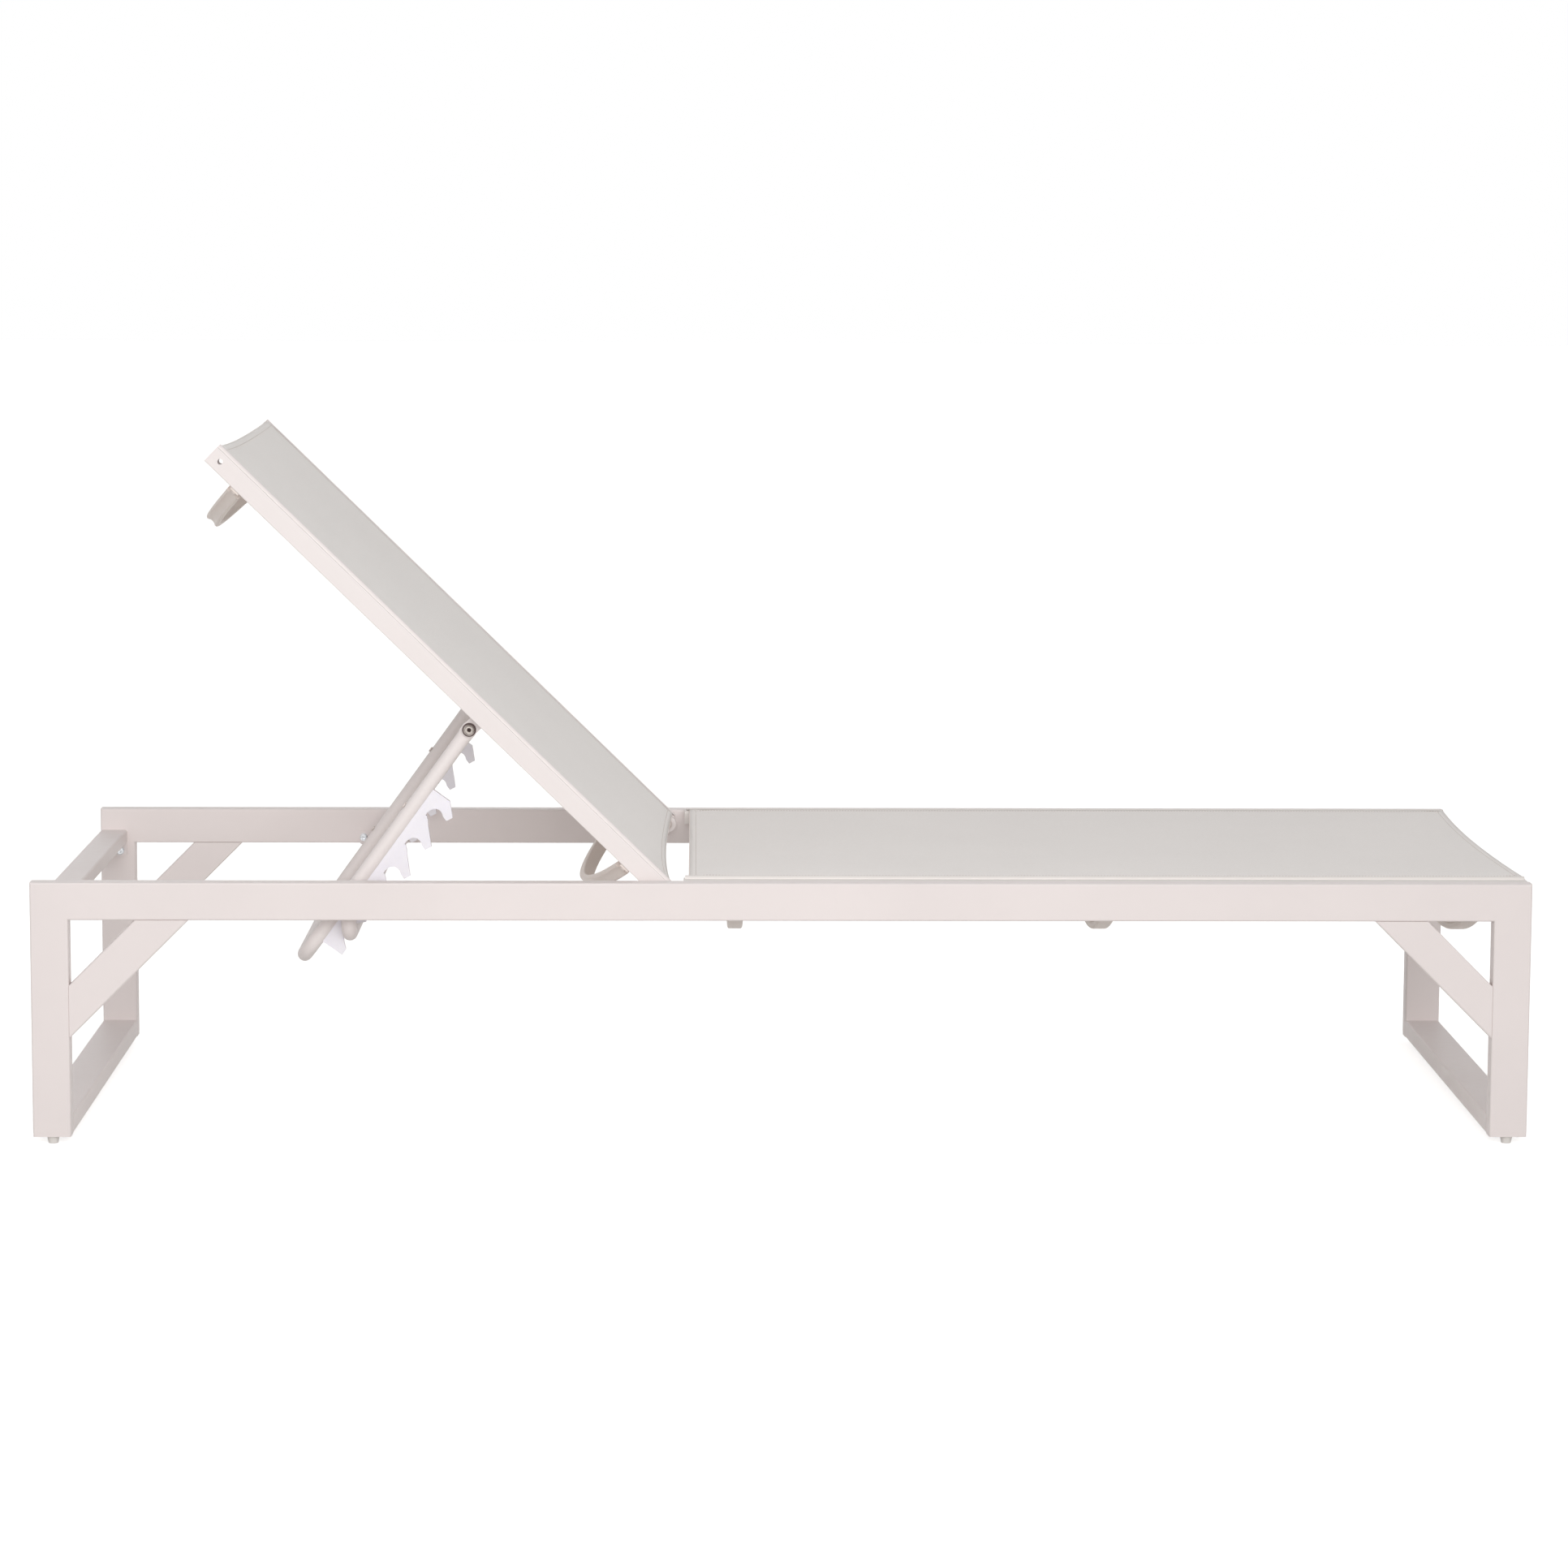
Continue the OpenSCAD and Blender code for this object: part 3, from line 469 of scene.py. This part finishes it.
def stitch_row(bm, sling, path, lift):
    """Short threads one after another along a path of cloth points."""
    lengths = [0.0]
    for a, b in zip(path, path[1:]):
        lengths.append(lengths[-1] + math.dist(a, b))

    def at(s):
        k = next((k for k in range(1, len(path)) if s <= lengths[k]), len(path) - 1)
        share = (s - lengths[k - 1]) / max(lengths[k] - lengths[k - 1], 1e-6)
        x, y = [p + (q - p) * share for p, q in zip(path[k - 1], path[k])]
        return sling.point(x, y, lift)

    up = (sling.turn.to_3x3() @ Vector((0, 0, 1))).normalized()
    s = STITCH_START
    while s + STITCH < lengths[-1]:
        lay_stitch(bm, at(s), at(s + STITCH), up)
        s += STITCH + STITCH_GAP


# How far the seams run inside the sling's sides and ends, and how far short of
# the other edges they stop
SIDE_SEAM, HEM_SEAM = 6.5, 8.5
SIDE_SEAM_INSET, HEM_SEAM_INSET = 3, 2
SIDE_STEPS, HEM_STEPS = 120, 80


def stitch_paths(sling):
    paths = []
    for sign in (-1, 1):
        y = sign * (sling.lip_y - SIDE_SEAM)
        low, high = sling.edges(y)
        start, reach = low + SIDE_SEAM_INSET, high - low - 2 * SIDE_SEAM_INSET
        paths.append([(start + reach * k / SIDE_STEPS, y) for k in range(SIDE_STEPS + 1)])
    for end, inward in ((0, 1), (1, -1)):
        reach = sling.lip_y - HEM_SEAM_INSET
        ys = [reach * (-1 + 2 * k / HEM_STEPS) for k in range(HEM_STEPS + 1)]
        paths.append([(sling.edges(y)[end] + inward * HEM_SEAM, y) for y in ys])
    return paths


# Cells along and across a sling
GRID, QUICK_GRID = (150, 76), (80, 40)


def make_sling(sling, body, node, cloth):
    rows, cols = GRID
    bm = bmesh.new()
    lay_cloth(bm, sling, rows, cols)
    sheet = piece(sling.name + "_cloth", bm, body, cloth)
    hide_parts(node)
    bm = bmesh.new()
    for end in (0, 1):
        lay_hem(bm, sling, end, cols)
    bmesh.ops.recalc_face_normals(bm, faces=bm.faces)
    hems = piece(sling.name + "_hems", bm, body, HEM_CLOTH_PAINTED_LIGHT)
    bm = bmesh.new()
    for path in stitch_paths(sling):
        stitch_row(bm, sling, path, CLOTH_T / 2)
    bmesh.ops.recalc_face_normals(bm, faces=bm.faces)
    seams = piece(sling.name + "_stitching", bm, body, THREAD)
    x = sum(sling.ends) / 2
    line = [sling.point(x, y) for y in sling.across(cols)]


SEAT = Sling("seat_sling", SEAT_TURN, ends=(-124.0, 985.0), curves=(0.0, 4.0), lean=0.7,
             ridge_y=SEAT_RIDGE_Y, sags=(13.0, 4.5), seed=0.7)
BACK = Sling("back_sling", BACK_TURN, ends=(-826.0, -5.0), curves=(1.0, 1.0), lean=0.0,
             ridge_y=BACK_RIDGE_Y, sags=(9.0, 9.0), seed=2.1)
make_sling(SEAT, "base", "seat_sling",
           SEAT_CLOTH)
make_sling(BACK, "back", "back_sling", BACK_CLOTH)


# The stay's ends, where the round tube is pressed flat round its bolt. Drawn in
# the stay's frame: x along the arm from the bolt, y outwards and z across.

STAY_TURN = (Matrix.Translation(PIVOT)
             @ Matrix.Rotation(math.radians(180 - STAY_ANGLE), 4, "Y"))

# Where the flat begins to open into the tube, the bolt hole, and the tube's
# least half depth at its sides
OPEN_START, BOLT_HOLE_R, RIM = 5.0, 4.2, 0.1
# Steps round the back, along a side, across the arm and in towards the hole
ROUND_STEPS, ALONG_STEPS, ACROSS_STEPS, INWARD_STEPS = 28, 14, 20, 9
SHARP_FROM = 38


def opened(x):
    """How far the end has opened from flat to round at x: 0 to 1."""
    share = min(1.0, max(0.0, (x - OPEN_START) / (ARM_START - OPEN_START)))
    return share * share * (3 - 2 * share)


def half_width(x):
    return PADDLE_R + (STAY_R - PADDLE_R) * opened(x)


def end_faces(x, z):
    """The outer and the inner face's y at a place of the pressed end."""
    half_round = math.sqrt(max(STAY_R ** 2 - z * z, RIM ** 2))
    middle = PADDLE_OUT - STAY_R
    flat = (PADDLE_OUT, PADDLE_OUT - PADDLE_T)
    full = (middle + half_round, middle - half_round)
    return [a + (b - a) * opened(x) for a, b in zip(flat, full)]


def end_outline():
    """The end seen from the side: a half circle, a side, the arm and a side."""
    points = []
    for k in range(ROUND_STEPS):
        angle = math.pi / 2 + math.pi * k / ROUND_STEPS
        points.append((PADDLE_R * math.cos(angle), PADDLE_R * math.sin(angle)))
    for k in range(ALONG_STEPS):
        x = ARM_START * k / ALONG_STEPS
        points.append((x, -half_width(x)))
    for k in range(ACROSS_STEPS):
        points.append((ARM_START, -STAY_R * math.cos(math.pi * k / ACROSS_STEPS)))
    for k in range(ALONG_STEPS):
        x = ARM_START * (1 - k / ALONG_STEPS)
        points.append((x, half_width(x)))
    return points


def end_column(bm, sign, x, z):
    """Pairs of outer and inner points from the hole out to the outline at x, z."""
    reach = math.hypot(x, z)
    column = []
    for j in range(INWARD_STEPS + 1):
        share = math.sin(math.pi / 2 * j / INWARD_STEPS)
        away = BOLT_HOLE_R + (reach - BOLT_HOLE_R) * share
        at = (x / reach * away, z / reach * away)
        column.append([bm.verts.new(STAY_TURN @ (Vector((at[0], sign * y, at[1])) * MM))
                       for y in end_faces(*at)])
    return column


def lay_pressed_end(bm, sign):
    columns = [end_column(bm, sign, x, z) for x, z in end_outline()]
    for a, b in zip(columns, columns[1:] + columns[:1]):
        for j in range(INWARD_STEPS):
            for face in (0, 1):
                bm.faces.new((a[j][face], a[j + 1][face], b[j + 1][face], b[j][face]))
        for j in (0, INWARD_STEPS):
            bm.faces.new((a[j][0], a[j][1], b[j][1], b[j][0]))


bm = bmesh.new()
for sign in (-1, 1):
    lay_pressed_end(bm, sign)
bmesh.ops.recalc_face_normals(bm, faces=bm.faces)
pressed_ends = piece("stay_pressed_ends", bm, "stay", BACK_FRAME)
pressed_ends.data.set_sharp_from_angle(angle=math.radians(SHARP_FROM))
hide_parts("stay_paddles")


# Floor, sky, lamps and camera

# The sky's strength at the horizon and overhead, and the floor's own glow
HORIZON, OVERHEAD, FLOOR_LIFT = 0.58, 0.44, 0.76
# How far the floor reaches from the middle and lies below the glides, in metres
FLOOR_REACH, FLOOR_DROP = 30, 0.0002


def background_rays(g):
    """1 for rays of the camera, of gloss and of glass, and 0 for spread light."""
    rays = g.node("ShaderNodeLightPath").outputs
    bent = g.maths("MAXIMUM", rays["Is Glossy Ray"], rays["Is Transmission Ray"])
    return g.maths("MAXIMUM", rays["Is Camera Ray"], bent)


def floor_material():
    material, g = new_material("floor_white")
    g.colour((0.64, 0.62, 0.6, 1.0))
    g.constant("Roughness", 0.9)
    g.constant("Specular IOR Level", 0.0)
    glow = g.node("ShaderNodeEmission")
    g.link(g.maths("MULTIPLY", background_rays(g), FLOOR_LIFT), glow.inputs["Strength"])
    both = g.node("ShaderNodeAddShader")
    g.link(g.shader.outputs[0], both.inputs[0])
    g.link(glow.outputs[0], both.inputs[1])
    g.link(both.outputs[0], g.tree.nodes["Material Output"].inputs["Surface"])
    return material


bm = bmesh.new()
for x, y in ((-1, -1), (1, -1), (1, 1), (-1, 1)):
    bm.verts.new((x * FLOOR_REACH, y * FLOOR_REACH, -FLOOR_DROP))
bm.faces.new(list(bm.verts))
floor = new_object("floor", bm, floor_material())

world = bpy.data.worlds.new("studio")
bpy.context.scene.world = world
world.use_nodes = True
g = Graph(world.node_tree)
sky = g.tree.nodes["Background"]
sky.inputs["Color"].default_value = (1.0, 1.0, 1.0, 1.0)
toward = g.node("ShaderNodeTexCoord").outputs["Generated"]
graded = g.spread(g.split(toward)["Z"], HORIZON, OVERHEAD, into_low=0.0, into_high=1.0)
shown_white = g.spread(background_rays(g), graded, 1.0, into_low=0.0, into_high=1.0)
g.link(shown_white, sky.inputs["Strength"])


def hang(lamp, backwards):
    """Sets a lamp in the scene, with the way from its target back to it."""
    lit = bpy.data.objects.new(lamp.name, lamp)
    lit.rotation_mode = "QUATERNION"
    lit.rotation_quaternion = backwards.to_track_quat("Z", "Y")
    bpy.context.scene.collection.objects.link(lit)
    return lit


def sun(name, strength, azimuth, elevation, size, mirrored=True):
    """Azimuth 0 shines from the camera's side, and 90 from the foot end."""
    lamp = bpy.data.lights.new(name, "SUN")
    lamp.energy, lamp.angle = strength, math.radians(size)
    a, e = math.radians(azimuth), math.radians(elevation)
    from_there = Vector((math.sin(a) * math.cos(e), -math.cos(a) * math.cos(e), math.sin(e)))
    hang(lamp, from_there).visible_glossy = mirrored


def soft_box(name, place, target, size, power):
    lamp = bpy.data.lights.new(name, "AREA")
    lamp.shape, lamp.energy = "RECTANGLE", power
    lamp.size, lamp.size_y = size
    lit = hang(lamp, Vector(place) - Vector(target))
    lit.location = place
    lit.visible_camera = False


soft_box("front_box", place=(-0.2, -2.2, 1.15), target=(-0.2, -0.3, 0.4), size=(2.6, 0.9),
         power=15)
sun("front", strength=0.76, azimuth=8, elevation=14, size=30)
sun("top", strength=0.06, azimuth=62, elevation=52, size=35)
sun("rear", strength=0.85, azimuth=190, elevation=7, size=30, mirrored=False)

# The photograph's camera, turned down towards the lounge: metres, radians and pixels
PLACE = Vector((-0.11826, -5.88100, 1.25174))
PITCH, YAW, ROLL = 0.11607, -0.02123, -0.00467
FOCAL_PX, FRAME_PX, SENSOR = 5241.97, 1932, 36.0
SHIFT_Y, CLIP = -0.06, (0.1, 100.0)

right = Vector((math.cos(YAW), math.sin(YAW), 0))
ahead = Vector((-math.sin(YAW) * math.cos(PITCH), math.cos(YAW) * math.cos(PITCH),
                -math.sin(PITCH)))
up = right.cross(ahead)
turned_right = math.cos(ROLL) * right - math.sin(ROLL) * up
turned_up = math.sin(ROLL) * right + math.cos(ROLL) * up

eye = bpy.data.cameras.new("camera")
eye.sensor_fit, eye.sensor_width = "HORIZONTAL", SENSOR
eye.lens = FOCAL_PX / FRAME_PX * SENSOR
eye.shift_y = SHIFT_Y
eye.clip_start, eye.clip_end = CLIP
camera = bpy.data.objects.new("camera", eye)
bpy.context.scene.collection.objects.link(camera)
turn = Matrix((turned_right, turned_up, -ahead)).transposed().to_4x4()
camera.matrix_world = Matrix.Translation(PLACE) @ turn
bpy.context.scene.camera = camera

bpy.context.scene.view_settings.view_transform = "Standard"
